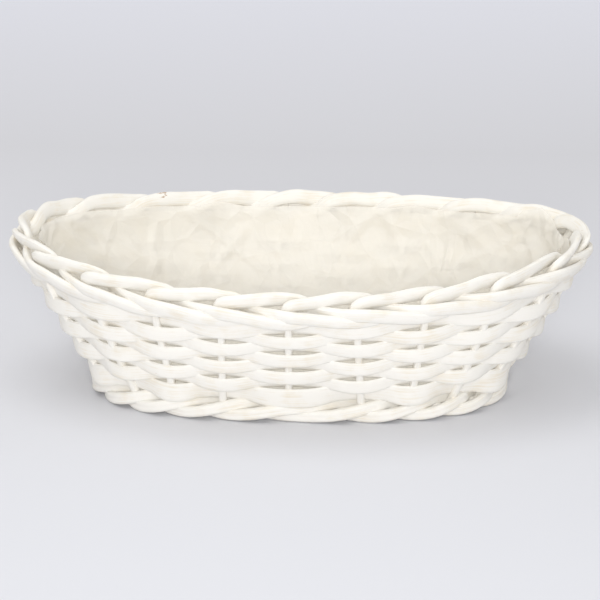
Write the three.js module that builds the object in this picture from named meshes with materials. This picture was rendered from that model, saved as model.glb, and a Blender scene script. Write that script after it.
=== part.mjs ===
// An oval willow planter basket with flared walls, standing on a waled foot.
// Round stakes rise from under a woven base, flat strips are woven round them, and the
// thick top end of each stake is bent over and plaited into the rolled border.
// Millimetres, +Z up, X along the basket, the front towards -Y.
import * as THREE from 'three';

// Wall outlines, on the centre line of the stakes
const RIM_LENGTH = 396;
const RIM_WIDTH = 253;
const RIM_SQUARENESS = 2;
const RIM_LIFT = 12;
const FOOT_LENGTH = 262;
const FOOT_WIDTH = 157;
const FOOT_SQUARENESS = 2.4;
const RIM_RISE = 96.5;

// Stakes
const STAKE_SPACING = 41.5;
const STAKE_DIAMETER = 5;
const STAKE_FOOT_REACH = 27;
const UPSETT_LENGTH = 6;
const STAKE_START_SHARE = 1.72;

// Wale of three round rods at the foot
const WALE_ROD_DIAMETER = 5;
const WALE_TILT = 0.42;
const WALE_EASE = 0.6;
const FOOT_FLAT = 0.5;

// Flat weavers of the wall
const STRIP_WIDTH = 11.6;
const STRIP_THICKNESS = 1.6;
const ROW_PITCH = 8.6;
const STRIP_END_GAP = 1.2;
const STRIP_QUARTER_SHARE = 0.86;

// Plaited border, whose rods are flattened by bending
const BORDER_ROD_WIDTH = 8.4;
const BORDER_ROD_THICKNESS = 5.4;
const BORDER_TAIL_WIDTH = 5;
const BORDER_TAIL_THICKNESS = 3.4;

// Woven base
const STICK_DIAMETER = 4;
const STICK_SPACING = 32;
const BASE_STRIP_WIDTH = 10;
const BASE_STRIP_PITCH = 11.6;
const BASE_STRIP_THICKNESS = 1.6;

// Film liner
const LINER_THICKNESS = 0.6;
const LINER_GAP = 1;

// Space left between pieces that touch
const CLEARANCE = 0.3;

// Facets
const ROD_SIDES = 6;
const STRIP_STEPS = 4;
const WALE_STEPS = 3;
const LINER_STEPS = 2;
const OUTLINE_SAMPLES = 1440;
const TANGENT_REACH = 0.05;

// Paint and film
const WHITE_PAINT = { color: 0xf3efe6, roughness: 0.62, metalness: 0 };
const CLEAR_FILM = { color: 0xf2ece0, roughness: 0.25, metalness: 0 };

const stakeRadius = STAKE_DIAMETER / 2;
const waleRadius = WALE_ROD_DIAMETER / 2;

// A point of a superellipse, at an angle given in radians
function ovalPoint(length, width, squareness, angle) {
  const power = 2 / squareness;
  const cosine = Math.cos(angle);
  const sine = Math.sin(angle);
  const x = (length / 2) * Math.sign(cosine) * Math.abs(cosine) ** power;
  const y = (width / 2) * Math.sign(sine) * Math.abs(sine) ** power;
  return new THREE.Vector3(x, y, 0);
}

function footCorner(angle) {
  return ovalPoint(FOOT_LENGTH, FOOT_WIDTH, FOOT_SQUARENESS, angle);
}

// The rim lifts towards both ends
function rimPoint(angle) {
  const point = ovalPoint(RIM_LENGTH, RIM_WIDTH, RIM_SQUARENESS, angle);
  const endShare = point.x / (RIM_LENGTH / 2);
  return point.setZ(RIM_RISE + RIM_LIFT * endShare ** 2);
}

// Arc length along the outline half way up the wall, so that the stakes stand evenly
const arcLengths = [0];
for (let sample = 1; sample <= OUTLINE_SAMPLES; sample += 1) {
  const before = (2 * Math.PI * (sample - 1)) / OUTLINE_SAMPLES;
  const after = (2 * Math.PI * sample) / OUTLINE_SAMPLES;
  const start = footCorner(before).lerp(rimPoint(before), 0.5);
  const end = footCorner(after).lerp(rimPoint(after), 0.5);
  arcLengths.push(arcLengths[sample - 1] + start.distanceTo(end));
}
const girth = arcLengths[OUTLINE_SAMPLES];

// An odd count makes one weaver change sides each round, and a multiple of three suits the wale
const stakeCount = 3 * (2 * Math.round((girth / STAKE_SPACING / 3 - 1) / 2) + 1);
const spacing = girth / stakeCount;

// The outline's angle at a place counted in stakes from the first one
function angleAt(place) {
  const turns = (place + STAKE_START_SHARE) / stakeCount;
  const wholeTurns = Math.floor(turns);
  const target = (turns - wholeTurns) * girth;
  let low = 0;
  let high = OUTLINE_SAMPLES;
  while (high - low > 1) {
    const middle = (low + high) >> 1;
    if (arcLengths[middle] > target) high = middle;
    else low = middle;
  }
  const share = (target - arcLengths[low]) / (arcLengths[high] - arcLengths[low]);
  return (2 * Math.PI * (low + share)) / OUTLINE_SAMPLES;
}

function wallPoint(place, height) {
  const angle = angleAt(place);
  return footCorner(angle).lerp(rimPoint(angle), height);
}

// The share of the wall's height, at a place, that lies at a level
function shareAt(place, level) {
  return level / wallPoint(place, 1).z;
}

// The wall's own directions at a place: along it, up its slope, out of it, and level outwards.
// height runs from 0 at the foot corner to 1 at the rim line.
function wallFrame(place, height) {
  const along = wallPoint(place + TANGENT_REACH, height)
    .sub(wallPoint(place - TANGENT_REACH, height))
    .normalize();
  const slope = wallPoint(place, 1).sub(wallPoint(place, 0));
  const length = slope.length();
  slope.normalize();
  const out = along.clone().cross(slope).normalize();
  const level = new THREE.Vector3(along.y, -along.x, 0).normalize();
  return { point: wallPoint(place, height), slope, out, level, length };
}

// A closed solid through rings of points: each ring has the same count, and the ends are capped
function loft(rings) {
  const sides = rings[0].length;
  const positions = rings.flat().flatMap((point) => [point.x, point.y, point.z]);
  const faces = [];
  for (let ring = 0; ring + 1 < rings.length; ring += 1) {
    for (let side = 0; side < sides; side += 1) {
      const next = (side + 1) % sides;
      const a = ring * sides + side;
      const b = ring * sides + next;
      faces.push(a, b, b + sides, a, b + sides, a + sides);
    }
  }
  for (const ring of [0, rings.length - 1]) {
    const centre = new THREE.Vector3();
    rings[ring].forEach((point) => centre.addScaledVector(point, 1 / sides));
    const hub = positions.length / 3;
    positions.push(centre.x, centre.y, centre.z);
    for (let side = 0; side < sides; side += 1) {
      const a = ring * sides + side;
      const b = ring * sides + ((side + 1) % sides);
      faces.push(...(ring === 0 ? [hub, b, a] : [hub, a, b]));
    }
  }
  const geometry = new THREE.BufferGeometry();
  geometry.setAttribute('position', new THREE.Float32BufferAttribute(positions, 3));
  geometry.setIndex(faces);
  geometry.computeVertexNormals();
  return geometry;
}

// A ring round a centre, turning from the first direction to the second
function ringAround(centre, first, second, firstRadius, secondRadius) {
  return Array.from({ length: ROD_SIDES }, (_, side) => {
    const turn = (2 * Math.PI * side) / ROD_SIDES;
    const point = centre.clone().addScaledVector(first, firstRadius * Math.cos(turn));
    return point.addScaledVector(second, secondRadius * Math.sin(turn));
  });
}

// A rod along points of {centre, facing, section}: the section is deep along the facing
// direction and wide across it, both as radii
function rod(points) {
  const rings = points.map(({ centre, facing, section }, index) => {
    const before = points[Math.max(index - 1, 0)].centre;
    const after = points[Math.min(index + 1, points.length - 1)].centre;
    const forward = after.clone().sub(before).normalize();
    const outer = facing.clone().addScaledVector(forward, -facing.dot(forward)).normalize();
    return ringAround(centre, outer, forward.clone().cross(outer), section.deep, section.wide);
  });
  return loft(rings);
}

// The four corners of a strip's section, as signs of its two directions
const STRIP_CORNERS = [[-1, -1], [1, -1], [1, 1], [-1, 1]];

const basket = new THREE.Group();

function addPiece(name, geometry, finish) {
  const piece = new THREE.Mesh(geometry, new THREE.MeshStandardMaterial(finish));
  piece.name = name;
  basket.add(piece);
}

function numbered(name, index) {
  return `${name}_${String(index + 1).padStart(2, '0')}`;
}

// Weave offsets: how far a strip's middle lies from the stakes' centres, and the free side of it
const stripOffset = stakeRadius + CLEARANCE + STRIP_THICKNESS / 2;
const weaveFace = stripOffset + STRIP_THICKNESS / 2;

// The bend at the foot of a stake: its corner is on the foot outline, level with the base's feet
function upsettPoint(place, share) {
  const { point, slope, level } = wallFrame(place, 0);
  const inner = point.clone().addScaledVector(level, -UPSETT_LENGTH);
  const upper = point.clone().addScaledVector(slope, UPSETT_LENGTH);
  return new THREE.QuadraticBezierCurve3(inner, point, upper).getPoint(share);
}

// Sections of a stake along its length. A border rod's flat edges are half its width away.
const STAKE_SECTION = { deep: stakeRadius, wide: stakeRadius };
const BORDER_SECTION = {
  deep: BORDER_ROD_THICKNESS / 2,
  wide: BORDER_ROD_WIDTH / 2 / Math.cos(Math.PI / ROD_SIDES),
};
const TAIL_SECTION = {
  deep: BORDER_TAIL_THICKNESS / 2,
  wide: BORDER_TAIL_WIDTH / 2 / Math.cos(Math.PI / ROD_SIDES),
};

// The border. Each rod leaves its own stake at a shoulder, runs along the top, passes behind
// the next stake, comes out under that stake's rod, and runs down over the outside of the
// two stakes after it. out is counted in rod thicknesses and down in rod widths.
const borderLayer = BORDER_ROD_THICKNESS + CLEARANCE;
const borderCourse = BORDER_ROD_WIDTH + CLEARANCE;
const overWeave = (weaveFace + CLEARANCE + BORDER_SECTION.deep) / borderLayer;
const tailOverWeave = (weaveFace + CLEARANCE + TAIL_SECTION.deep) / borderLayer;
const borderUnder = 1.73;
const BORDER_ROUTE = [
  { place: 0, out: 0, down: 1.95, section: STAKE_SECTION },
  { place: 0, out: 0, down: 1.1, section: BORDER_SECTION },
  { place: 0.12, out: -0.07, down: 0.72, section: BORDER_SECTION },
  { place: 0.3, out: -0.3, down: 0.56, section: BORDER_SECTION },
  { place: 0.55, out: -0.65, down: 0.53, section: BORDER_SECTION },
  { place: 0.8, out: -0.97, down: 0.6, section: BORDER_SECTION },
  { place: 1, out: -1.1, down: 0.87, section: BORDER_SECTION },
  { place: 1.2, out: -1.34, down: 1.27, section: BORDER_SECTION },
  { place: 1.38, out: -0.64, down: borderUnder, section: BORDER_SECTION },
  { place: 1.57, out: 0, down: 1.55, section: BORDER_SECTION },
  { place: 1.78, out: 0.5, down: 1.35, section: BORDER_SECTION },
  { place: 2, out: 1.05, down: 1.26, section: BORDER_SECTION },
  { place: 2.33, out: 1.18, down: 1.52, section: BORDER_SECTION },
  { place: 2.67, out: overWeave, down: 2.03, section: BORDER_SECTION },
  { place: 3, out: overWeave, down: 2.5, section: BORDER_SECTION },
  { place: 3.33, out: tailOverWeave, down: 2.75, section: TAIL_SECTION },
];

function borderStop(index, { place, out, down, section }) {
  const { point, slope, out: facing } = wallFrame(index + place, 1);
  point.addScaledVector(slope, -down * borderCourse);
  point.addScaledVector(facing, out * borderLayer);
  return { centre: point, facing, section };
}

// Stakes: the foot, the bend, the upright and the border stroke are one rod
for (let index = 0; index < stakeCount; index += 1) {
  const { point, level, out } = wallFrame(index, 0);
  const under = new THREE.Vector3(0, 0, -1);
  const footEnd = point.clone().addScaledVector(level, -STAKE_FOOT_REACH);
  const points = [{ centre: footEnd, facing: under, section: STAKE_SECTION }];
  for (const share of [0, 0.5, 1]) {
    const facing = under.clone().lerp(out, share);
    points.push({ centre: upsettPoint(index, share), facing, section: STAKE_SECTION });
  }
  points.push(...BORDER_ROUTE.map((stop) => borderStop(index, stop)));
  addPiece(numbered('stake', index), rod(points), WHITE_PAINT);
}

// Wale: three rods wind round the bends of the stakes, outside two and inside one
const waleOffset = stakeRadius + waleRadius + CLEARANCE + WALE_EASE;
const waleStack = (WALE_ROD_DIAMETER + CLEARANCE + WALE_EASE / 2) / Math.sqrt(3);
const waleRise = stakeRadius + waleRadius + 2 * CLEARANCE - waleOffset * Math.sin(WALE_TILT);

function walePoint(place, rodIndex) {
  const { level } = wallFrame(place, 0);
  const up = new THREE.Vector3(0, 0, 1);
  const away = level.clone().multiplyScalar(Math.cos(WALE_TILT)).addScaledVector(up, -Math.sin(WALE_TILT));
  const along = level.clone().multiplyScalar(Math.sin(WALE_TILT)).addScaledVector(up, Math.cos(WALE_TILT));
  const turn = (2 * Math.PI * (place - rodIndex)) / 3;
  const centre = wallPoint(place, shareAt(place, waleRise));
  centre.addScaledVector(away, (waleOffset / 3) * (1 - 4 * Math.cos(turn)));
  centre.addScaledVector(along, -waleStack * Math.sin(turn));
  return centre;
}

function waleRings(rodIndex) {
  const steps = stakeCount * WALE_STEPS;
  const endGap = STRIP_END_GAP / 2 / spacing;
  return Array.from({ length: steps + 1 }, (_, step) => {
    let place = rodIndex + step / WALE_STEPS;
    if (step === 0) place += endGap;
    if (step === steps) place -= endGap;
    const inward = wallFrame(place, 0).level.negate();
    const up = new THREE.Vector3(0, 0, 1);
    return ringAround(walePoint(place, rodIndex), inward, up, waleRadius, waleRadius);
  });
}

// The three rods are cut flat together underneath, which is the face that the basket rests on
const waleRods = [0, 1, 2].map(waleRings);
const lowest = Math.min(...waleRods.flat(2).map((point) => point.z));
const restingHeight = lowest + FOOT_FLAT;
waleRods.flat(2).forEach((point) => point.setZ(Math.max(point.z, restingHeight)));
waleRods.forEach((rings, index) => {
  addPiece(numbered('wale_rod', index), loft(rings), WHITE_PAINT);
});

// Weavers: one strip for each round, every strip starting and ending behind a stake.
// The strip narrows where it crosses the row above between two stakes.
const waleTop = Math.max(...waleRods.flat(2).map((point) => point.z));
const slopeLength = wallFrame(stakeCount / 4, 0).length;
const weaveBottom = (waleTop + CLEARANCE) / RIM_RISE * slopeLength;
const weaveTop = slopeLength - borderUnder * borderCourse - BORDER_ROD_WIDTH / 2 - 2 * CLEARANCE;
const rowCount = Math.round((weaveTop - weaveBottom - STRIP_WIDTH) / ROW_PITCH);
const rowPitch = (weaveTop - weaveBottom - STRIP_WIDTH) / rowCount;

function stripWidth(turn) {
  const quarterWidth = STRIP_QUARTER_SHARE * STRIP_WIDTH;
  const quarterOffset = stripOffset * Math.SQRT1_2;
  const meeting = (STRIP_THICKNESS + CLEARANCE) / 2 / quarterOffset;
  const crossingWidth = (rowPitch - CLEARANCE - meeting * quarterWidth) / (1 - meeting);
  const away = Math.abs(Math.cos(turn));
  if (away < Math.SQRT1_2) return THREE.MathUtils.lerp(crossingWidth, quarterWidth, away * Math.SQRT2);
  const share = (away - Math.SQRT1_2) / (1 - Math.SQRT1_2);
  return THREE.MathUtils.lerp(quarterWidth, STRIP_WIDTH, share);
}

function stripRing(place) {
  const middle = weaveBottom + STRIP_WIDTH / 2 + (rowPitch * place) / stakeCount;
  const { point, slope, out } = wallFrame(place, middle / slopeLength);
  const turn = Math.PI * place;
  point.addScaledVector(out, stripOffset * Math.cos(turn));
  const half = stripWidth(turn) / 2;
  return STRIP_CORNERS.map(([outward, upward]) => {
    const corner = point.clone().addScaledVector(out, (outward * STRIP_THICKNESS) / 2);
    return corner.addScaledVector(slope, upward * half);
  });
}

// The place behind a stake nearest to the end of a round: odd places lie inside the stakes
function joinPlace(round) {
  const place = round * stakeCount;
  return place % 2 === 0 ? place + 1 : place;
}

for (let row = 0; row < rowCount; row += 1) {
  const endGap = STRIP_END_GAP / 2 / spacing;
  const start = joinPlace(row);
  const end = Math.min(joinPlace(row + 1), rowCount * stakeCount);
  const steps = (end - start) * STRIP_STEPS;
  const rings = Array.from({ length: steps + 1 }, (_, step) => {
    if (step === 0) return stripRing(start + endGap);
    if (step === steps) return stripRing(end - endGap);
    return stripRing(start + step / STRIP_STEPS);
  });
  addPiece(numbered('weaver', row), loft(rings.reverse()), WHITE_PAINT);
}

// Base: round sticks across, flat strips woven along them, lying on the feet of the stakes
const matInset = UPSETT_LENGTH / 4 + waleOffset + waleRadius;
const matLength = FOOT_LENGTH - 2 * matInset;
const matWidth = FOOT_WIDTH - 2 * matInset;
const stickRadius = STICK_DIAMETER / 2;
const baseStripOffset = stickRadius + CLEARANCE + BASE_STRIP_THICKNESS / 2;
const matHeight = stakeRadius + CLEARANCE + BASE_STRIP_THICKNESS / 2 + baseStripOffset;

// Half the chord of the mat's oval at a distance from its middle line
function matReach(across, acrossSize, alongSize) {
  const share = Math.min(Math.abs(across) / (acrossSize / 2), 1);
  return (alongSize / 2) * (1 - share ** FOOT_SQUARENESS) ** (1 / FOOT_SQUARENESS);
}

const stickCount = 2 * Math.floor((matLength / 2 - stickRadius) / STICK_SPACING) + 1;
for (let index = 0; index < stickCount; index += 1) {
  const x = (index - (stickCount - 1) / 2) * STICK_SPACING;
  const half = matReach(Math.abs(x) + stickRadius, matLength, matWidth);
  const points = [-half, half].map((y) => ({
    centre: new THREE.Vector3(x, y, matHeight),
    facing: new THREE.Vector3(0, 0, 1),
    section: { deep: stickRadius, wide: stickRadius },
  }));
  addPiece(numbered('base_stick', index), rod(points), WHITE_PAINT);
}

const baseStripCount = 2 * Math.floor((matWidth / 2 - BASE_STRIP_WIDTH / 2) / BASE_STRIP_PITCH) + 1;
for (let index = 0; index < baseStripCount; index += 1) {
  const y = (index - (baseStripCount - 1) / 2) * BASE_STRIP_PITCH;
  const half = matReach(Math.abs(y) + BASE_STRIP_WIDTH / 2, matWidth, matLength);
  const bends = Math.ceil((2 * half) / STICK_SPACING) - 1;
  const bendPlaces = Array.from({ length: 2 * bends + 1 }, (_, bend) => ((bend - bends) * STICK_SPACING) / 2);
  const rings = [-half, ...bendPlaces, half].map((x) => {
    const z = matHeight + baseStripOffset * Math.cos(Math.PI * (x / STICK_SPACING + index));
    return STRIP_CORNERS.map(([sideways, upward]) => new THREE.Vector3(
      x,
      y + (sideways * BASE_STRIP_WIDTH) / 2,
      z + (upward * BASE_STRIP_THICKNESS) / 2,
    ));
  });
  addPiece(numbered('base_strip', index), loft(rings), WHITE_PAINT);
}

// Film liner: a thin tray that lies on the base, stands against the weave and ends under the border
const linerFloor = matHeight + baseStripOffset + BASE_STRIP_THICKNESS / 2 + CLEARANCE;
const linerTopShare = weaveTop / slopeLength;
const linerOffset = weaveFace + LINER_GAP;

// A ring at a distance inside the wall, measured square to it. levelAt gives its level at a place.
function linerRing(levelAt, inward) {
  const count = stakeCount * LINER_STEPS;
  return Array.from({ length: count }, (_, step) => {
    const place = step / LINER_STEPS;
    const level = levelAt(place);
    const { out } = wallFrame(place, shareAt(place, level));
    const height = shareAt(place, level + inward * out.z);
    return wallPoint(place, height).addScaledVector(out, -inward);
  });
}

function linerEdge(place) {
  return wallPoint(place, linerTopShare).z;
}

const linerInside = linerOffset + LINER_THICKNESS;
const linerRings = [
  linerRing(() => linerFloor, linerOffset),
  linerRing(linerEdge, linerOffset),
  linerRing(linerEdge, linerInside),
  linerRing(() => linerFloor + LINER_THICKNESS, linerInside),
];
addPiece('film_liner', loft(linerRings), CLEAR_FILM);

// The origin is on the surface that the basket stands on, under its middle
const box = new THREE.Box3().setFromObject(basket);
basket.position.set(-(box.min.x + box.max.x) / 2, -(box.min.y + box.max.y) / 2, -box.min.z);

export default basket;
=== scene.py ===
"""An oval willow planter basket, painted white, with a clear film liner.

The woven pieces are modelled round the same flared wall as the solids that they
stand for: round stakes whose tops are plaited into the rim, three wale rods at the
foot, flat weavers, a woven base and the film that keeps compost in.
"""
import logging
import math
from dataclasses import dataclass, field
from enum import Enum

import bpy
import numpy as np
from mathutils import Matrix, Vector


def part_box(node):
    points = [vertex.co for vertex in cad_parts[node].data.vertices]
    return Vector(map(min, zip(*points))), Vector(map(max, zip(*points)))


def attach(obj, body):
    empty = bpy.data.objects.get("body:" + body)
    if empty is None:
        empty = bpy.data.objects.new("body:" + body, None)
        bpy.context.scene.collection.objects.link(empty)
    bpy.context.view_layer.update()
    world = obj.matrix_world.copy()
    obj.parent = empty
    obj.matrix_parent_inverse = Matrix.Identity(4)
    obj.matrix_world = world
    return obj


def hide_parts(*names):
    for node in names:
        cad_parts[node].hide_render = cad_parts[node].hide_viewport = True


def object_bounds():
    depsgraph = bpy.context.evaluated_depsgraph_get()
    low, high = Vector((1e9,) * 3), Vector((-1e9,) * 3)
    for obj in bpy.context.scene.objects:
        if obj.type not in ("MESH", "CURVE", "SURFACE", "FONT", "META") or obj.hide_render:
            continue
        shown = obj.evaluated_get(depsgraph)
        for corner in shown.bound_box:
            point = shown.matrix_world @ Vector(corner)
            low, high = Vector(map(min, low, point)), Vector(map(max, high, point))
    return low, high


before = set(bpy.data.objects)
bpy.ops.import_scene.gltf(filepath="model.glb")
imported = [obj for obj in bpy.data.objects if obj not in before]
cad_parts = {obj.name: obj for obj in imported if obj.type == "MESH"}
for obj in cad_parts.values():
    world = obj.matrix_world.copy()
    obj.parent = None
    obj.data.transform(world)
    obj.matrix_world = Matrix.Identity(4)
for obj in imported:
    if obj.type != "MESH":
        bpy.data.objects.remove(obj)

log = logging.getLogger("planter")

MM = 0.001
BODY = "root"
CAD_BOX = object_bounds()
UP = np.array([0.0, 0.0, 1.0])


class Slot(Enum):
    """Names for three material slots; nothing in this script uses them."""

    ROD = "painted_rod"
    STRIP = "painted_strip"
    FILM = "film"


# Colour and node helpers


def linear(hex_colour: str, alpha: float = 1.0) -> tuple[float, float, float, float]:
    """Turn an sRGB hex colour into a linear one.

    Args:
        hex_colour: A colour such as "#F4F0E8".
        alpha: The fourth value of the result.

    Returns:
        Red, green, blue and alpha for a shader socket.
    """
    digits = hex_colour.lstrip("#")
    parts = [int(digits[i:i + 2], 16) / 255 for i in (0, 2, 4)]
    bent = [c / 12.92 if c <= 0.04045 else ((c + 0.055) / 1.055) ** 2.4 for c in parts]
    return (*bent, alpha)


def add_node(tree: bpy.types.NodeTree, kind: str, inputs: dict | None = None, **settings) -> bpy.types.Node:
    """Add a shader node, set it up and link it.

    Args:
        tree: The material's or world's node tree.
        kind: The node's type name.
        inputs: Socket name or number to a value, or to the output socket that feeds it.
        settings: The node's own properties.

    Returns:
        The new node.
    """
    node = tree.nodes.new(kind)
    for name, value in settings.items():
        setattr(node, name, value)
    for key, value in (inputs or {}).items():
        if isinstance(value, bpy.types.NodeSocket):
            tree.links.new(value, node.inputs[key])
        else:
            node.inputs[key].default_value = value
    return node


def new_tree(name: str) -> tuple[bpy.types.Material, bpy.types.NodeTree]:
    """Make an empty node material.

    Args:
        name: The material's name.

    Returns:
        The material and its cleared node tree.
    """
    material = bpy.data.materials.new(name)
    material.use_nodes = True
    material.node_tree.nodes.clear()
    return material, material.node_tree


# Finishes


@dataclass(frozen=True)
class PaintedWillow:
    """Peeled willow brushed with thin white emulsion.

    The paint dries chalky and soaks in along the grain, so the eye sees a warm white
    with faint long streaks, and small brown flecks where buds and cracks took no paint.
    """

    name: str
    paint: str = "#F4F1EA"
    thin_paint: str = "#EAE1CF"
    bare_wood: str = "#A67C4E"
    grain_width_mm: float = 0.9
    grain_length_mm: float = 30.0
    mottle_mm: float = 14.0
    fleck_mm: float = 2.6
    fleck_level: float = 0.71
    fleck_edge: float = 0.05
    fleck_strength: float = 0.75
    roughness: tuple[float, float] = (0.48, 0.66)
    grain_depth_mm: float = 0.22
    worn_place: tuple[float, float, float] = (-0.1035, 0.1005, 0.1065)
    worn_reach_mm: float = 9.0
    worn_push: float = 0.24

    def material(self) -> bpy.types.Material:
        """Build the node material.

        Returns:
            The finished material. The grain is drawn coarser than real willow's, so that it shows.
        """
        material, tree = new_tree(self.name)
        place = add_node(tree, "ShaderNodeTexCoord")
        grain_scale = (1 / (self.grain_length_mm * MM), 1 / (self.grain_width_mm * MM), 1.0)
        along = add_node(tree, "ShaderNodeMapping", {"Vector": place.outputs["UV"], "Scale": grain_scale})
        grain = add_node(tree, "ShaderNodeTexNoise", {
            "Vector": along.outputs["Vector"], "Scale": 1.0, "Detail": 3.0, "Roughness": 0.6})
        mottle = add_node(tree, "ShaderNodeTexNoise", {
            "Vector": place.outputs["Object"], "Scale": 1 / (self.mottle_mm * MM), "Detail": 3.0})
        streak = add_node(tree, "ShaderNodeMath", {
            0: grain.outputs[0], 1: mottle.outputs[0]}, operation="MULTIPLY")
        thin = add_node(tree, "ShaderNodeMapRange", {
            "Value": streak.outputs[0], "From Min": 0.24, "From Max": 0.42, "To Max": 0.8})
        coat = add_node(tree, "ShaderNodeMix", {
            "Factor": thin.outputs[0], 6: linear(self.paint), 7: linear(self.thin_paint)}, data_type="RGBA")
        fleck_scale = (1 / (3 * self.fleck_mm * MM), 1 / (self.fleck_mm * MM), 1.0)
        fleck_place = add_node(tree, "ShaderNodeMapping", {
            "Vector": place.outputs["UV"], "Scale": fleck_scale})
        fleck = add_node(tree, "ShaderNodeTexNoise", {
            "Vector": fleck_place.outputs["Vector"], "Scale": 1.0, "Detail": 4.0, "Roughness": 0.7})
        away = add_node(tree, "ShaderNodeVectorMath", {
            0: place.outputs["Object"], 1: self.worn_place}, operation="DISTANCE")
        worn = add_node(tree, "ShaderNodeMapRange", {
            "Value": away.outputs["Value"], "From Max": self.worn_reach_mm * MM,
            "To Min": self.worn_push, "To Max": 0.0})
        rubbed = add_node(tree, "ShaderNodeMath", {0: fleck.outputs[0], 1: worn.outputs[0]}, operation="ADD")
        bare = add_node(tree, "ShaderNodeMapRange", {
            "Value": rubbed.outputs[0], "From Min": self.fleck_level,
            "From Max": self.fleck_level + self.fleck_edge, "To Max": self.fleck_strength})
        colour = add_node(tree, "ShaderNodeMix", {
            "Factor": bare.outputs[0], 6: coat.outputs[2], 7: linear(self.bare_wood)}, data_type="RGBA")
        rough = add_node(tree, "ShaderNodeMapRange", {
            "Value": grain.outputs[0], "From Min": 0.3, "From Max": 0.7,
            "To Min": self.roughness[0], "To Max": self.roughness[1]})
        bump = add_node(tree, "ShaderNodeBump", {
            "Height": grain.outputs[0], "Strength": 0.6, "Distance": self.grain_depth_mm * MM})
        shader = add_node(tree, "ShaderNodeBsdfPrincipled", {
            "Base Color": colour.outputs[2], "Roughness": rough.outputs[0], "Specular IOR Level": 0.3,
            "Normal": bump.outputs[0]})
        add_node(tree, "ShaderNodeOutputMaterial", {"Surface": shader.outputs[0]})
        return material


@dataclass(frozen=True)
class CrinkledFilm:
    """Clear polyethylene film, blown thin and creased by hand.

    It looks milky where it is seen at a slant, lets the weave show through, and
    catches small bright glints along its creases.
    """

    name: str = "crinkled_polyethylene_film"
    colour: str = "#FFFBF2"
    alpha: float = 0.6
    roughness: float = 0.42
    crease_mm: float = 22.0
    crease_depth_mm: float = 1.2
    crinkle_mm: float = 5.0
    crinkle_share: float = 0.35
    bump_strength: float = 0.8

    def material(self) -> bpy.types.Material:
        """Build the node material.

        Returns:
            The finished material.
        """
        material, tree = new_tree(self.name)
        place = add_node(tree, "ShaderNodeTexCoord")
        crinkle = add_node(tree, "ShaderNodeTexNoise", {
            "Vector": place.outputs["Object"], "Scale": 1 / (self.crinkle_mm * MM), "Detail": 2.0})
        crease = add_node(tree, "ShaderNodeTexVoronoi", {
            "Vector": place.outputs["Object"],
            "Scale": 1 / (self.crease_mm * MM)}, feature="DISTANCE_TO_EDGE")
        fold = add_node(tree, "ShaderNodeMapRange", {
            "Value": crease.outputs["Distance"], "From Max": 0.25, "To Min": 1.0, "To Max": 0.0})
        height = add_node(tree, "ShaderNodeMath", {
            0: crinkle.outputs[0], 1: self.crinkle_share, 2: fold.outputs[0]}, operation="MULTIPLY_ADD")
        bump = add_node(tree, "ShaderNodeBump", {
            "Height": height.outputs[0], "Strength": self.bump_strength,
            "Distance": self.crease_depth_mm * MM})
        shader = add_node(tree, "ShaderNodeBsdfPrincipled", {
            "Base Color": linear(self.colour), "Roughness": self.roughness, "IOR": 1.5,
            "Specular IOR Level": 0.35, "Alpha": self.alpha, "Normal": bump.outputs[0]})
        add_node(tree, "ShaderNodeOutputMaterial", {"Surface": shader.outputs[0]})
        return material


@dataclass(frozen=True)
class StudioPaper:
    """Matt pale paper whose colour holds painted light and shade: lighter in front, a darker painted band of
    shade behind the object, and lighter again further back.
    """

    name: str = "studio_paper"
    # near, middle and far are painted light and shade across the floor, standing in for how the light falls
    # off, not a tint of the paper.
    near: str = "#E2E3E8"
    middle: str = "#D8D8DC"
    far: str = "#ECEDF5"
    reach: tuple[float, float, float] = (-0.35, 0.6, 1.2)
    roughness: float = 0.9

    def material(self) -> bpy.types.Material:
        """Build the node material.

        Returns:
            The finished material.
        """
        material, tree = new_tree(self.name)
        place = add_node(tree, "ShaderNodeTexCoord")
        split = add_node(tree, "ShaderNodeSeparateXYZ", {"Vector": place.outputs["Object"]})
        front, band, back = self.reach
        depth = add_node(tree, "ShaderNodeMapRange", {
            "Value": split.outputs["Y"], "From Min": front, "From Max": band})
        beyond = add_node(tree, "ShaderNodeMapRange", {
            "Value": split.outputs["Y"], "From Min": band, "From Max": back})
        # Painted shade: the colour darkens from the front into a band behind the object and lightens again
        # beyond it.
        near = add_node(tree, "ShaderNodeMix", {
            "Factor": depth.outputs[0], 6: linear(self.near), 7: linear(self.middle)}, data_type="RGBA")
        colour = add_node(tree, "ShaderNodeMix", {
            "Factor": beyond.outputs[0], 6: near.outputs[2], 7: linear(self.far)}, data_type="RGBA")
        shader = add_node(tree, "ShaderNodeBsdfPrincipled", {
            "Base Color": colour.outputs[2], "Roughness": self.roughness, "Specular IOR Level": 0.2})
        add_node(tree, "ShaderNodeOutputMaterial", {"Surface": shader.outputs[0]})
        return material


# Shape helpers


def unit(vectors: np.ndarray) -> np.ndarray:
    """Scale each vector to length 1."""
    return vectors / np.linalg.norm(vectors, axis=-1, keepdims=True)


@dataclass
class Wobble:
    """Smooth hand-made unevenness along a piece, the same on every run."""

    rng: np.random.Generator
    waves: int = 5

    def along(self, places: np.ndarray, period: float, size: float) -> np.ndarray:
        """Give an uneven value at each place.

        Args:
            places: Places along the piece, in any unit.
            period: The usual distance between two swells, in that unit.
            size: About the largest value that it gives.

        Returns:
            One value for each place, around zero.
        """
        pace = 2 * math.pi / (period * self.rng.uniform(0.5, 2.2, self.waves))
        phase = self.rng.uniform(0, 2 * math.pi, self.waves)
        total = np.sin(places[..., None] * pace + phase).sum(axis=-1)
        return size * total / math.sqrt(self.waves) / 1.4


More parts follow.
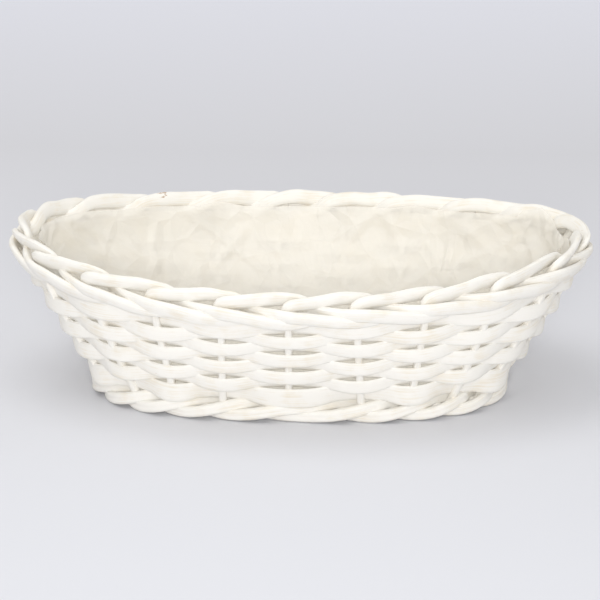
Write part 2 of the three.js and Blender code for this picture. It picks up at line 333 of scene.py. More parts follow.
def smooth_path(knots: np.ndarray, step: float) -> np.ndarray:
    """Run a smooth curve through knots.

    Args:
        knots: Rows of values whose first three are lengths in metres.
        step: The distance between the points of the result, in metres.

    Returns:
        Rows like the knots, closely spaced along the curve.
    """
    gaps = np.linalg.norm(np.diff(knots[:, :3], axis=0), axis=1)
    times = np.concatenate([[0.0], np.cumsum(gaps)])
    slopes = np.gradient(knots, times, axis=0)
    slopes[0] = (knots[1] - knots[0]) / gaps[0]
    slopes[-1] = (knots[-1] - knots[-2]) / gaps[-1]
    count = max(2, int(round(times[-1] / step)) + 1)
    at = np.linspace(0.0, times[-1], count)
    index = np.clip(np.searchsorted(times, at, side="right") - 1, 0, len(gaps) - 1)
    width = gaps[index][:, None]
    t = ((at - times[index]) / gaps[index])[:, None]
    start, end = knots[index], knots[index + 1]
    pull_start, pull_end = slopes[index] * width, slopes[index + 1] * width
    return ((2 * t ** 3 - 3 * t ** 2 + 1) * start + (t ** 3 - 2 * t ** 2 + t) * pull_start
            + (3 * t ** 2 - 2 * t ** 3) * end + (t ** 3 - t ** 2) * pull_end)


def swept_mesh(name: str, rings: np.ndarray, shift: float) -> bpy.types.Object:
    """Join rings of points into a closed solid, with its length and girth as UV.

    A rod or strip that bends in space while its section changes has no operator that
    draws it, so its rings are joined here.

    Args:
        name: The object's name.
        rings: Points in metres, as rings by sides by 3.
        shift: Moves the UV along, so that no two pieces share their grain.

    Returns:
        The new object, at the origin.
    """
    count, sides, _ = rings.shape
    grid = np.arange(count * sides).reshape(count, sides)
    turned = np.roll(grid, -1, axis=1)
    quads = np.stack([grid[:-1], turned[:-1], turned[1:], grid[1:]], axis=-1).reshape(-1, 4)
    faces = quads.tolist() + [grid[0][::-1].tolist(), grid[-1].tolist()]
    mesh = bpy.data.meshes.new(name)
    mesh.from_pydata(rings.reshape(-1, 3).tolist(), [], faces)
    middles = rings.mean(axis=1)
    run = np.concatenate([[0.0], np.cumsum(np.linalg.norm(np.diff(middles, axis=0), axis=1))]) + shift
    girth = np.linalg.norm(rings - np.roll(rings, -1, axis=1), axis=-1).mean(axis=0)
    across = np.concatenate([[0.0], np.cumsum(girth)]) + 0.37 * shift
    u = np.stack([run[:-1], run[:-1], run[1:], run[1:]], axis=-1)[:, None, :].repeat(sides, axis=1)
    v = np.stack([across[:-1], across[1:], across[1:], across[:-1]], axis=-1)[None].repeat(count - 1, axis=0)
    flat = np.stack([u, v], axis=-1).reshape(-1, 2)
    caps = np.stack([np.full(2 * sides, shift), np.linspace(0, 2 * sides * MM, 2 * sides)], axis=-1)
    layer = mesh.uv_layers.new(name="Grain")
    layer.data.foreach_set("uv", np.concatenate([flat, caps]).ravel())
    mesh.validate()
    piece = bpy.data.objects.new(name, mesh)
    bpy.context.collection.objects.link(piece)
    return piece


def shade_smooth(piece: bpy.types.Object, degrees: float = 40.0) -> None:
    """Shade a piece smooth, with its sharper edges kept."""
    bpy.ops.object.select_all(action="DESELECT")
    piece.select_set(True)
    bpy.context.view_layer.objects.active = piece
    bpy.ops.object.shade_smooth_by_angle(angle=math.radians(degrees))


def settle(piece: bpy.types.Object, node: str, material: bpy.types.Material) -> None:
    """Dress a piece and put it in the place of its solid.

    Args:
        piece: The finished piece.
        node: The solid that it stands for.
        material: Its material.
    """
    piece.data.materials.clear()
    piece.data.materials.append(material)
    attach(piece, BODY)
    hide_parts(node)
    log.info("%s: %d faces, for %s", piece.name, len(piece.data.polygons), node)


# The wall that everything follows


@dataclass
class BasketWall:
    """The flared oval wall, on the centre line of the stakes, in metres.

    It is a little fuller than the straight wall of the solids: squarer at the corners of
    the foot, with a slight belly at both ends, as weaving pushes the stakes out.
    """

    rim_length: float = 0.396
    rim_width: float = 0.253
    rim_squareness: float = 2.0
    rim_lift: float = 0.012
    foot_length: float = 0.262
    foot_width: float = 0.157
    foot_squareness: float = 2.4
    full_squareness: float = 2.9
    belly: float = 0.0048
    belly_top: float = 0.85
    rim_rise: float = 0.0965
    stakes: int = 21
    start_share: float = 1.72
    stake_radius: float = 0.0025
    clearance: float = 0.0003
    strip_thickness: float = 0.0016
    border_width: float = 0.0084
    border_thickness: float = 0.0054
    border_under: float = 1.73
    samples: int = 1440
    tangent_reach: float = 0.05
    origin: np.ndarray = field(init=False)
    girth: float = field(init=False)
    lengths: np.ndarray = field(init=False)

    def __post_init__(self) -> None:
        """Find the wall's place from the solids, and its arc lengths."""
        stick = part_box("base_stick_04")
        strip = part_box("base_strip_06")
        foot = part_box("stake_01")[0][2] + self.stake_radius
        middle_x = (stick[0][0] + stick[1][0]) / 2
        middle_y = (strip[0][1] + strip[1][1]) / 2
        self.origin = np.array([middle_x, middle_y, foot])
        angles = np.linspace(0, 2 * math.pi, self.samples + 1)
        middle = (self.foot(angles) + self.rim(angles)) / 2
        steps = np.linalg.norm(np.diff(middle, axis=0), axis=1)
        self.lengths = np.concatenate([[0.0], np.cumsum(steps)])
        self.girth = float(self.lengths[-1])

    @property
    def spacing(self) -> float:
        """The distance between two stakes, half way up."""
        return self.girth / self.stakes

    @property
    def strip_offset(self) -> float:
        """How far a strip's middle lies from the stakes' centres."""
        return self.stake_radius + self.clearance + self.strip_thickness / 2

    @property
    def weave_face(self) -> float:
        """How far the weave's free side lies from the stakes' centres."""
        return self.strip_offset + self.strip_thickness / 2

    @property
    def border_course(self) -> float:
        """The width of one border rod and its clearance."""
        return self.border_width + self.clearance

    @property
    def border_layer(self) -> float:
        """The thickness of one border rod and its clearance."""
        return self.border_thickness + self.clearance

    def oval(self, length: float, width: float, squareness: float, angles: np.ndarray) -> np.ndarray:
        """Give points of a superellipse at z = 0.

        Args:
            length: Its whole length.
            width: Its whole width.
            squareness: Its exponent.
            angles: Where on it, in radians.

        Returns:
            One point for each angle.
        """
        power = 2 / squareness
        cosine, sine = np.cos(angles), np.sin(angles)
        x = length / 2 * np.sign(cosine) * np.abs(cosine) ** power
        y = width / 2 * np.sign(sine) * np.abs(sine) ** power
        return np.stack([x, y, np.zeros_like(x)], axis=-1)

    def foot(self, angles: np.ndarray) -> np.ndarray:
        """Give points of the foot outline."""
        return self.oval(self.foot_length, self.foot_width, self.foot_squareness, angles)

    def rim(self, angles: np.ndarray) -> np.ndarray:
        """Give points of the rim outline, lifted at both ends."""
        points = self.oval(self.rim_length, self.rim_width, self.rim_squareness, angles)
        end_share = points[..., 0] / (self.rim_length / 2)
        points[..., 2] = self.rim_rise + self.rim_lift * end_share ** 2
        return points

    def points(self, places: np.ndarray, heights: np.ndarray) -> np.ndarray:
        """Give points of the wall.

        Args:
            places: Places round the wall, counted in stakes.
            heights: 0 at the foot corner to 1 at the rim line.

        Returns:
            Points in the shared frame.
        """
        turns = ((places + self.start_share) / self.stakes) % 1.0
        table = np.linspace(0, 2 * math.pi, self.samples + 1)
        angles = np.interp(turns * self.girth, self.lengths, table)
        foot = self.oval(self.foot_length, self.foot_width, self.full_squareness, angles)
        rim = self.rim(angles)
        heights = np.asarray(heights, float)[..., None]
        end_share = rim[..., :1] / (self.rim_length / 2)
        flare = unit((rim - foot) * np.array([1.0, 1.0, 0.0]))
        level = np.clip(2 * heights / self.belly_top - 1, -1, 1)
        swell = self.belly * end_share ** 2 * (1 - level ** 4)
        return foot + (rim - foot) * heights + flare * swell + self.origin

    def shares(self, places: np.ndarray, levels: np.ndarray) -> np.ndarray:
        """Give the share of the wall's height that lies at a level above the foot's corner."""
        return levels / (self.points(places, np.ones_like(places))[..., 2] - self.origin[2])

    def frames(self, places: np.ndarray, heights: np.ndarray) -> dict[str, np.ndarray]:
        """Give the wall's own directions.

        Args:
            places: Places round the wall, counted in stakes.
            heights: 0 at the foot corner to 1 at the rim line.

        Returns:
            point, along, slope, out, level and the sloping length, for each place.
        """
        places = np.asarray(places, float)
        heights = np.broadcast_to(np.asarray(heights, float), places.shape)
        ahead = self.points(places + self.tangent_reach, heights)
        behind = self.points(places - self.tangent_reach, heights)
        along = unit(ahead - behind)
        rule = self.points(places, np.ones_like(places)) - self.points(places, np.zeros_like(places))
        length = np.linalg.norm(rule, axis=-1)
        slope = unit(rule)
        out = unit(np.cross(along, slope))
        level = unit(np.stack([along[..., 1], -along[..., 0], np.zeros_like(places)], axis=-1))
        point = self.points(places, heights)
        return {"point": point, "along": along, "slope": slope, "out": out, "level": level, "length": length}


def rod_rings(path: np.ndarray, facing: np.ndarray, half_deep: np.ndarray, half_wide: np.ndarray,
              ridges: np.ndarray) -> np.ndarray:
    """Put rings round a path.

    Args:
        path: Centre points in metres.
        facing: A direction at each point that the rod's outer face looks to.
        half_deep: Half the rod's size along that direction, at each point.
        half_wide: Half its size across it.
        ridges: One factor for each side, for a section that isn't a true round.

    Returns:
        Rings by sides by 3.
    """
    forward = unit(np.gradient(path, axis=0))
    outer = unit(facing - (facing * forward).sum(axis=-1, keepdims=True) * forward)
    across = np.cross(forward, outer)
    turn = np.linspace(0, 2 * math.pi, len(ridges), endpoint=False)
    deep = (half_deep[:, None] * np.cos(turn) * ridges)[..., None]
    wide = (half_wide[:, None] * np.sin(turn) * ridges)[..., None]
    return path[:, None] + outer[:, None] * deep + across[:, None] * wide


# Sub-assemblies


@dataclass
class Stakes:
    """The stakes: feet, bends, uprights and the border that their tops make."""

    wall: BasketWall
    foot_reach: float = 0.027
    upsett_length: float = 0.006
    tail_deep: float = 0.0017
    tail_wide: float = 0.0027
    border_deep: float = 0.0024
    flatness: float = 3.0
    border_wide: float = 0.0051
    knot_drift: float = 0.0003
    width_drift: float = 0.05
    swell_length: float = 0.04
    swell_share: float = 0.05
    ridge_share: float = 0.02
    foot_steps: int = 6
    bend_steps: int = 7
    upright_steps: int = 14
    sides: int = 16
    step: float = 0.0028
    seed: int = 11

    def route(self, rng: np.random.Generator) -> np.ndarray:
        """Give the border's knots.

        Args:
            rng: Makes each rod a little different.

        Returns:
            Rows of place, out, down, half depth and half width, in metres; place is
            counted along the rim.
        """
        wall = self.wall
        slim, deep, wide = wall.stake_radius, self.border_deep, self.border_wide
        rows = [
            (0, 0, 2.1, slim, slim),
            (0, 0, 1.5, deep * 0.95, wide * 0.8),
            (0.01, 0.02, 0.96, deep, wide),
            (0.07, 0.02, 0.7, deep, wide),
            (0.26, -0.18, 0.61, deep, wide),
            (0.55, -0.6, 0.6, deep, wide),
            (0.8, -0.95, 0.61, deep, wide),
            (1, -1.14, 0.7, deep, wide * 0.95),
            (1.2, -1.3, 1.02, deep * 0.9, wide * 0.9),
            (1.38, -0.66, 1.5, deep * 0.9, wide * 0.9),
            (1.57, 0, 1.48, deep, wide * 0.92),
            (1.78, 0.55, 1.34, deep, wide * 0.95),
            (2, 0.98, 1.26, deep, wide * 0.95),
            (2.33, 1.05, 1.42, deep, wide * 0.95),
            (2.67, 1.05, 1.74, deep, wide * 0.92),
            (3, 0.95, 2.0, deep * 0.9, wide * 0.78),
            (3.3, 0.55, 2.12, self.tail_deep, self.tail_wide),
        ]
        knots = np.array(rows)
        knots[:, 0] *= wall.spacing
        knots[:, 1] *= wall.border_layer
        knots[:, 2] *= wall.border_course
        knots[3:, 2] += rng.normal(0, self.knot_drift, len(rows) - 3)
        knots[2:, 4] *= 1 + rng.normal(0, self.width_drift)
        return knots

    def build(self, material: bpy.types.Material) -> list[bpy.types.Object]:
        """Model every stake.

        Args:
            material: The finish of the rods.

        Returns:
            The stakes, in order round the basket.
        """
        return [self.stake(index, material) for index in range(self.wall.stakes)]

    def stake(self, index: int, material: bpy.types.Material) -> bpy.types.Object:
        """Model one stake as one rod.

        Args:
            index: Its place round the wall.
            material: The finish of the rods.

        Returns:
            The stake.
        """
        wall = self.wall
        rng = np.random.default_rng(self.seed + index)
        at_foot = wall.frames(np.array([float(index)]), 0.0)
        corner, level = at_foot["point"][0], at_foot["level"][0]
        out, slant = at_foot["out"][0], at_foot["length"][0]
        knots = self.route(rng)
        heights = np.linspace(self.upsett_length / slant, 1 - knots[0, 2] / slant, self.upright_steps)
        upright = wall.points(np.full_like(heights, index), heights)
        bend = np.linspace(0, 1, self.bend_steps)[:, None]
        inner = corner - level * self.upsett_length
        upper = upright[0]
        curve = (1 - bend) ** 2 * inner + 2 * bend * (1 - bend) * corner + bend ** 2 * upper
        foot = np.linspace(corner - level * self.foot_reach, inner, self.foot_steps)[:-1]
        border = smooth_path(knots, self.step)
        places = index + border[:, 0] / wall.spacing
        frames = wall.frames(places, 1.0)
        stroke = frames["point"] - frames["slope"] * border[:, 2:3] + frames["out"] * border[:, 1:2]
        rise = upright[1:-1]
        path = np.concatenate([foot, curve, rise, stroke])
        under = np.broadcast_to(-UP, foot.shape)
        turning = -UP * (1 - bend) + out * bend
        facing = np.concatenate([under, turning, np.broadcast_to(out, rise.shape), frames["out"]])
        slim = np.full(len(path) - len(stroke), wall.stake_radius)
        run = np.arange(len(path)) * self.step
        uneven = 1 + Wobble(rng).along(run, self.swell_length, self.swell_share)
        deep = np.concatenate([slim, border[:, 3]]) * uneven
        wide = np.concatenate([slim, border[:, 4]]) * uneven
        turn = np.linspace(0, 2 * math.pi, self.sides, endpoint=False)
        cosine, sine = np.abs(np.cos(turn)), np.abs(np.sin(turn))
        square = (cosine ** self.flatness + sine ** self.flatness) ** (-1 / self.flatness)
        ridges = square * (1 + rng.normal(0, self.ridge_share, self.sides))
        rings = np.clip(rod_rings(path, facing, deep, wide, ridges), *CAD_BOX)
        piece = swept_mesh(f"stake_rod_{index + 1:02d}", rings, float(rng.uniform(0, 3)))
        shade_smooth(piece)
        settle(piece, f"stake_{index + 1:02d}", material)
        return piece


@dataclass
class Wale:
    """Three rods twined round the feet of the stakes, outside two and inside one."""

    wall: BasketWall
    rods: int = 3
    rod: float = 0.005
    tilt: float = 0.42
    ease: float = 0.0006
    end_gap: float = 0.0012
    half_wide: float = 0.0042
    half_deep: float = 0.0033
    lift: float = 0.0021
    tuck: float = 0.7
    groove: float = 0.3
    groove_reach: float = 0.4
    swell_stakes: float = 2.0
    swell_share: float = 0.06
    sides: int = 20
    steps: int = 14
    seed: int = 71

    def build(self, material: bpy.types.Material) -> list[bpy.types.Object]:
        """Model the three rods.

        Args:
            material: The finish of the rods.

        Returns:
            The rods, in order.
        """
        return [self.one(index, material) for index in range(self.rods)]

    def one(self, index: int, material: bpy.types.Material) -> bpy.types.Object:
        """Model one wale rod.

        Args:
            index: Its number, from 0.
            material: The finish of the rods.

        Returns:
            The rod.
        """
        wall = self.wall
        rng = np.random.default_rng(self.seed + index)
        gap = self.end_gap / 2 / wall.spacing
        places = np.linspace(index + gap, index + wall.stakes - gap, wall.stakes * self.steps + 1)
        offset = wall.stake_radius + self.rod / 2 + wall.clearance + self.ease
        stack = (self.rod + wall.clearance + self.ease / 2) / math.sqrt(3)
        seat = wall.stake_radius + self.rod / 2 + 2 * wall.clearance
        rise = seat - offset * math.sin(self.tilt) + self.lift
        frames = wall.frames(places, wall.shares(places, rise))
        level = frames["level"]
        away = level * math.cos(self.tilt) - UP * math.sin(self.tilt)
        along = level * math.sin(self.tilt) + UP * math.cos(self.tilt)
        turn = (2 * math.pi * (places - index) / self.rods)[:, None]
        swing = offset / 3 * (1 - 4 * np.cos(turn))
        swing = np.where(swing > 0, swing * self.tuck, swing)
        path = frames["point"] + away * swing - along * stack * np.sin(turn)
        uneven = 1 + Wobble(rng).along(places, self.swell_stakes, self.swell_share)
        side = np.linspace(0, 2 * math.pi, self.sides, endpoint=False)
        from_front = np.minimum(side, 2 * math.pi - side)
        ridges = 1 - self.groove * np.exp(-(from_front / self.groove_reach) ** 2)
        rings = rod_rings(path, level, self.half_deep * uneven, self.half_wide * uneven, ridges)
        rings[..., 2] = np.maximum(rings[..., 2], CAD_BOX[0][2])
        piece = swept_mesh(f"foot_wale_{index + 1:02d}", rings, float(rng.uniform(0, 3)))
        shade_smooth(piece)
        settle(piece, f"wale_rod_{index + 1:02d}", material)
        return piece


@dataclass
class Weavers:
    """The flat split-willow strips of the wall, one for each round of the spiral."""

    wall: BasketWall
    rows: int = 8
    solid_width: float = 0.0116
    strip_width: float = 0.0104
    end_gap: float = 0.0012
    thickness: float = 0.0017
    cup: float = 0.0004
    lean: float = -0.12
    end_lean: float = -0.45
    outer: float = 0.0033
    inner: float = 0.0021
    drop: float = 0.0008
    foot_fill: float = 0.0015
    foot_flare: float = 0.25
    head_fill: float = 0.007
    hold: float = 0.9
    lean_swing: float = 0.35
    sway: float = 0.0005
    width_share: float = 0.05
    twist: float = 0.05
    cup_share: float = 0.6
    sides: int = 14
    steps: int = 16
    seed: int = 131

    def levels(self) -> tuple[float, float, float]:
        """Find the weave's lowest edge, its highest edge and its sloping length, in metres."""
        wall = self.wall
        top = max(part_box(f"wale_rod_{index:02d}")[1][2] for index in (1, 2, 3)) - wall.origin[2]
        length = float(wall.frames(np.array([wall.stakes / 4]), 0.0)["length"][0])
        bottom = (top + wall.clearance) / wall.rim_rise * length
        high = length - wall.border_under * wall.border_course - wall.border_width / 2 - 2 * wall.clearance
        return bottom, high, length

    def join_place(self, turn: int) -> int:
        """Find the place behind a stake nearest to the end of a round."""
        place = turn * self.wall.stakes
        return place + 1 if place % 2 == 0 else place

    def build(self, material: bpy.types.Material) -> list[bpy.types.Object]:
        """Model every strip.

        Args:
            material: The finish of the strips.

        Returns:
            The strips, from the lowest.
        """
        return [self.strip(row, material) for row in range(self.rows)]

    def section(self) -> tuple[np.ndarray, np.ndarray]:
        """Give the strip's section: depth and width from -1 to 1, round its edge."""
        turn = np.linspace(0, 2 * math.pi, self.sides, endpoint=False) + math.pi / self.sides
        deep = np.sign(np.cos(turn)) * np.abs(np.cos(turn)) ** 0.45
        wide = np.sign(np.sin(turn)) * np.abs(np.sin(turn)) ** 0.7
        return deep, wide

    def strip(self, row: int, material: bpy.types.Material) -> bpy.types.Object:
        """Model one round of weaver.

        Args:
            row: Its row, from 0 at the foot.
            material: The finish of the strips.

        Returns:
            The strip.
        """
        wall = self.wall
        rng = np.random.default_rng(self.seed + row)
        bottom, high, length = self.levels()
        pitch = (high - bottom - self.solid_width) / self.rows
        gap = self.end_gap / 2 / wall.spacing
        first = self.join_place(row)
        last = min(self.join_place(row + 1), self.rows * wall.stakes)
        places = np.linspace(first + gap, last - gap, (last - first) * self.steps + 1)
        wave = np.cos(math.pi * places)
        middle = bottom + self.solid_width / 2 + pitch * places / wall.stakes
        middle = middle + Wobble(rng).along(places, 3.0, self.sway) - self.drop * np.clip(wave, 0, 1)
        frames = wall.frames(places, middle / length)
        uneven = 1 + Wobble(rng).along(places, 2.5, self.width_share)
        width = self.strip_width * frames["length"] / length * uneven
        done = (places - row * wall.stakes) / wall.stakes
        below = (self.foot_fill + pitch * 0.5 * done) * (row == 0)
        above = (self.head_fill + pitch * (1 - done)) * (row == self.rows - 1)
        offset = np.where(wave > 0, self.outer, self.inner) * np.sign(wave) * np.abs(wave) ** self.hold
        end_share = (frames["point"][:, 0] - wall.origin[0]) / wall.rim_length * 2
        lean = (self.lean + self.end_lean * end_share ** 2) * (1 - self.lean_swing * (1 - wave))
        lean = lean + Wobble(rng).along(places, 2.0, self.twist)
        upward = frames["slope"] * np.cos(lean)[:, None] + frames["out"] * np.sin(lean)[:, None]
        outward = frames["out"] * np.cos(lean)[:, None] - frames["slope"] * np.sin(lean)[:, None]
        path = frames["point"] + frames["out"] * offset[:, None]
        deep, wide = self.section()
        cup = self.cup * (1 + Wobble(rng).along(places, 2.0, self.cup_share))
        out_by = deep[None] * self.thickness / 2 - cup[:, None] * (wide ** 2)[None]
        out_by += self.foot_flare * np.clip(-wide, 0, 1)[None] * (below * np.clip(wave, 0, 1))[:, None]
        up_by = wide[None] * width[:, None] / 2
        up_by += np.clip(wide, 0, 1)[None] * above[:, None] - np.clip(-wide, 0, 1)[None] * below[:, None]
        rings = path[:, None] + outward[:, None] * out_by[..., None] + upward[:, None] * up_by[..., None]
        piece = swept_mesh(f"willow_weaver_{row + 1:02d}", rings[:, ::-1], float(rng.uniform(0, 3)))
        shade_smooth(piece, 50.0)
        settle(piece, f"weaver_{row + 1:02d}", material)
        return piece


@dataclass
class BaseMat:
    """The woven base: round sticks across, flat strips along."""

    wall: BasketWall
    sticks: int = 7
    strips: int = 11
    stick_spacing: float = 0.032
    thickness: float = 0.0016
    sides: int = 12
    seed: int = 211

    def build(self, rod: bpy.types.Material, strip: bpy.types.Material) -> list[bpy.types.Object]:
        """Model the sticks and strips.

        Args:
            rod: The finish of the sticks.
            strip: The finish of the strips.

        Returns:
            All of them.
        """
        made = [self.stick(index, rod) for index in range(self.sticks)]
        return made + [self.strip(index, strip) for index in range(self.strips)]

    def stick(self, index: int, material: bpy.types.Material) -> bpy.types.Object:
        """Model one cross stick in the box of its solid.

        Args:
            index: Its number, from 0.
            material: Its finish.

        Returns:
            The stick.
        """
        node = f"base_stick_{index + 1:02d}"
        low, high = (np.array(corner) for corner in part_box(node))
        rng = np.random.default_rng(self.seed + index)
        path = np.linspace((low + high) / 2, (low + high) / 2, 40)
        path[:, 1] = np.linspace(low[1], high[1], 40)
        radius = (high[2] - low[2]) / 2 * (1 + Wobble(rng).along(path[:, 1], 0.05, 0.05))
        facing = np.broadcast_to(UP, path.shape)
        rings = rod_rings(path, facing, radius, radius, 1 + rng.normal(0, 0.03, self.sides))
        piece = swept_mesh(f"cross_stick_{index + 1:02d}", rings, float(rng.uniform(0, 3)))
        shade_smooth(piece)
        settle(piece, node, material)
        return piece

    def strip(self, index: int, material: bpy.types.Material) -> bpy.types.Object:
        """Model one lengthwise strip in the box of its solid.

        Args:
            index: Its number, from 0.
            material: Its finish.

        Returns:
            The strip.
        """
        node = f"base_strip_{index + 1:02d}"
        low, high = (np.array(corner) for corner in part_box(node))
        rng = np.random.default_rng(self.seed + 50 + index)
        x = np.linspace(low[0], high[0], 120)
        swing = (high[2] - low[2] - self.thickness) / 2
        bend = math.pi * ((x - self.wall.origin[0]) / self.stick_spacing + index)
        z = (low[2] + high[2]) / 2 + swing * np.cos(bend)
        path = np.stack([x, np.full_like(x, (low[1] + high[1]) / 2), z], axis=-1)
        half_wide = (high[1] - low[1]) / 2 * (1 - np.abs(Wobble(rng).along(x, 0.06, 0.07)))
        half_deep = np.full_like(x, self.thickness / 2)
        facing = np.broadcast_to(UP, path.shape)
        rings = rod_rings(path, facing, half_deep, half_wide, 1 + rng.normal(0, 0.02, self.sides))
        piece = swept_mesh(f"base_weaver_{index + 1:02d}", rings, float(rng.uniform(0, 3)))
        shade_smooth(piece, 50.0)
        settle(piece, node, material)
        return piece


@dataclass
class FilmLiner:
    """The film tray: floor, creased walls and an uneven edge tucked under the border."""

    wall: BasketWall
    columns: int = 420
    wall_rows: int = 40
    floor_rows: int = 12
    gap: float = 0.0022
    edge_below_rim: float = 0.0062
    edge_in: float = 0.0052
    lap_height: float = 0.026
    peaks: tuple[tuple[float, float, float], ...] = (
        (1.8, 0.0028, 0.4), (5.0, 0.0025, 0.35), (20.6, 0.0095, 0.7))
    edge_sway: float = 0.0009
    floor_ripple: float = 0.0008
    creases: int = 90
    seed: int = 307

    def build(self, material: bpy.types.Material) -> bpy.types.Object:
        """Model the film.

        Args:
            material: The film.

        Returns:
            The liner.
        """
        wall = self.wall
        rng = np.random.default_rng(self.seed)
        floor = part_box("film_liner")[0][2] - wall.origin[2]
        places = np.linspace(0, wall.stakes, self.columns, endpoint=False)
        rim = wall.points(places, np.ones_like(places))[:, 2] - wall.origin[2]
        edge = rim - self.edge_below_rim + Wobble(rng).along(places, 1.3, self.edge_sway)
        for place, rise, reach in self.peaks:
            edge = edge + rise * np.clip(1 - np.abs(places - place) / reach, 0, 1)
        rows = []
        for share in np.linspace(0, 1, self.wall_rows):
            level = floor + (edge - floor) * share
            frames = wall.frames(places, wall.shares(places, level))
            lap = np.clip(1 - (edge - level) / self.lap_height, 0, 1)
            inward = wall.weave_face + self.gap + self.folds(places * wall.spacing, level, floor)
            inward = inward + self.edge_in * lap ** 2 * (3 - 2 * lap)
            height = wall.shares(places, level + inward * frames["out"][:, 2])
            rows.append(wall.points(places, height) - frames["out"] * inward[:, None])
        ring = rows[0]
        centre = ring.mean(axis=0)
        ripple = np.random.default_rng(self.seed + 1)
        floor_rows = []
        for share in np.linspace(0, 1, self.floor_rows, endpoint=False)[1:]:
            points = centre + (ring - centre) * share
            points[:, 2] = ring[:, 2] + np.abs(Wobble(ripple).along(places, 1.5, self.floor_ripple)) * share
            floor_rows.append(points)
        grid = np.stack(floor_rows + rows)
        return self.mesh(grid, centre, material)

    def folds(self, run: np.ndarray, level: np.ndarray, floor: float) -> np.ndarray:
        """Give how far the film stands off the weave.

        Args:
            run: Distance round the wall, in metres.
            level: Height above the foot corner, in metres.
            floor: Height of the film's floor.

        Returns:
            The distance inwards for each point of a row, in metres.
        """
        draw = np.random.default_rng(self.seed + 2)
        total = np.zeros_like(run)
        girth = self.wall.girth
        for _ in range(self.creases):
            middle = draw.uniform(0, girth)
            height = draw.uniform(0.01, 0.075)
            lean = draw.uniform(-1.2, 1.2)
            reach = draw.uniform(0.012, 0.045)
            width = draw.uniform(0.003, 0.010)
            size = draw.uniform(0.0006, 0.0032)
            aside = (run - middle + girth / 2) % girth - girth / 2
            up = level - floor - height
            across = aside * math.cos(lean) - up * math.sin(lean)
            along = aside * math.sin(lean) + up * math.cos(lean)
            ridge = np.clip(1 - np.abs(across) / width, 0, 1)
            fade = np.clip(1 - np.abs(along) / reach, 0, 1) ** 0.6
            total = np.maximum(total, size * ridge * fade)
        return total

    def mesh(self, grid: np.ndarray, centre: np.ndarray, material: bpy.types.Material) -> bpy.types.Object:
        """Join the film's rows into one sheet.

        Args:
            grid: Rows by columns by 3, from the floor's middle to the edge.
            centre: The floor's middle point.
            material: The film.

        Returns:
            The sheet.
        """
        count, columns, _ = grid.shape
        index = np.arange(count * columns).reshape(count, columns)
        turned = np.roll(index, -1, axis=1)
        quads = np.stack([index[:-1], index[1:], turned[1:], turned[:-1]], axis=-1).reshape(-1, 4)
        hub = count * columns
        fan = [[int(index[0, c]), int(turned[0, c]), hub] for c in range(columns)]
        mesh = bpy.data.meshes.new("film_tray")
        mesh.from_pydata(np.vstack([grid.reshape(-1, 3), centre]).tolist(), [], quads.tolist() + fan)
        mesh.validate()
        piece = bpy.data.objects.new("film_tray", mesh)
        bpy.context.collection.objects.link(piece)
        shade_smooth(piece, 30.0)
        settle(piece, "film_liner", material)
        return piece


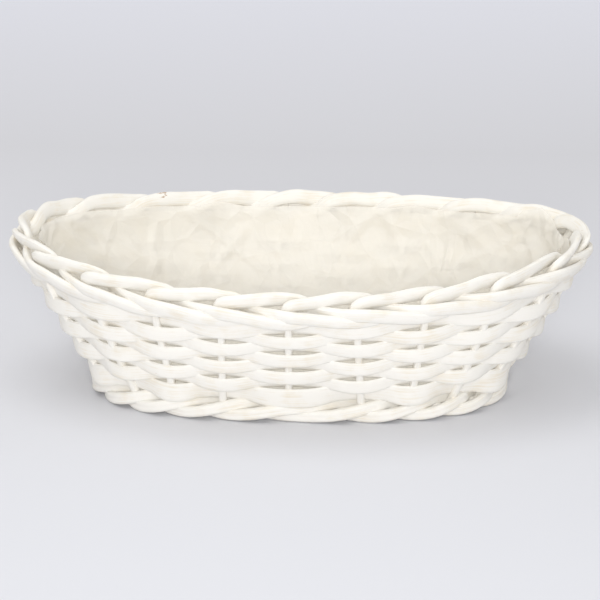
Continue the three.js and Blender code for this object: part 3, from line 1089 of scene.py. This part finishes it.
@dataclass
class Studio:
    """The paper floor, the lamps and the camera."""

    distance: float = 2.3
    elevation: float = math.radians(18.0)
    turn: float = math.radians(3.2)
    focal_mm: float = 201.0
    aim: tuple[float, float, float] = (0.0005, -0.013, 0.063)
    floor_size: float = 9.0
    softbox_place: tuple[float, float, float] = (-0.45, -0.05, 1.8)
    softbox_size: float = 1.2
    softbox_power: float = 6.9
    fill_place: tuple[float, float, float] = (0.13, -2.6, 0.9)
    fill_size: float = 0.5
    fill_power: float = 3.1
    fill_spread: float = math.radians(60.0)
    sky_strength: float = 0.73

    def build(self, paper: bpy.types.Material) -> None:
        """Set up everything round the basket.

        Args:
            paper: The floor's material.
        """
        self.floor(paper)
        self.camera()
        self.lamps()

    def floor(self, paper: bpy.types.Material) -> None:
        """Lay the paper floor."""
        bpy.ops.object.select_all(action="DESELECT")
        bpy.ops.mesh.primitive_plane_add(size=self.floor_size, location=(0, 0, CAD_BOX[0][2]))
        floor = bpy.context.object
        floor.name = "paper_floor"
        floor.data.materials.append(paper)

    def camera(self) -> None:
        """Place the camera in front, a little above the rim."""
        data = bpy.data.cameras.new("camera")
        data.lens = self.focal_mm
        data.sensor_width = 36.0
        data.clip_end = 30.0
        camera = bpy.data.objects.new("camera", data)
        bpy.context.collection.objects.link(camera)
        flat = math.cos(self.elevation)
        back = Vector((flat * math.sin(self.turn), -flat * math.cos(self.turn), math.sin(self.elevation)))
        camera.location = Vector(self.aim) + back * self.distance
        camera.rotation_euler = (-back).to_track_quat("-Z", "Y").to_euler()
        bpy.context.scene.camera = camera

    def lamps(self) -> None:
        """Hang a large soft lamp overhead and a gridded fill above the camera, under an even sky."""
        self.area("overhead_softbox", self.softbox_place, self.softbox_size, self.softbox_power)
        self.area("gridded_fill", self.fill_place, self.fill_size, self.fill_power, self.fill_spread)
        world = bpy.data.worlds.new("studio_sky")
        bpy.context.scene.world = world
        world.use_nodes = True
        sky = world.node_tree.nodes["Background"]
        sky.inputs["Color"].default_value = linear("#FFFFFF")
        sky.inputs["Strength"].default_value = self.sky_strength

    def area(self, name: str, place: tuple[float, float, float], size: float, power: float,
             spread: float = math.pi) -> None:
        """Hang one square lamp that faces the basket.

        Args:
            name: The lamp's name.
            place: Where it hangs, in metres.
            size: Its side, in metres.
            power: Its power in watts.
            spread: The angle that its light fans out to, in radians.
        """
        data = bpy.data.lights.new(name, "AREA")
        data.size = size
        data.energy = power
        data.spread = spread
        lamp = bpy.data.objects.new(name, data)
        bpy.context.collection.objects.link(lamp)
        lamp.location = place
        aim = Vector(self.aim) - Vector(place)
        lamp.rotation_euler = aim.to_track_quat("-Z", "Y").to_euler()


def main() -> None:
    """Build the basket and its studio, and report each piece."""
    logging.basicConfig(level=logging.INFO, format="%(name)s: %(message)s")
    bpy.context.scene.view_settings.view_transform = "Standard"
    Studio().build(StudioPaper().material())
    rod_paint = PaintedWillow("white_painted_willow_rod").material()
    strip_finish = PaintedWillow("white_painted_split_willow", grain_width_mm=1.1, grain_length_mm=40.0)
    strip_paint = strip_finish.material()
    wall = BasketWall()
    Stakes(wall).build(rod_paint)
    Wale(wall).build(rod_paint)
    Weavers(wall).build(strip_paint)
    BaseMat(wall).build(rod_paint, strip_paint)
    FilmLiner(wall).build(CrinkledFilm().material())


if __name__ == "__main__":
    main()
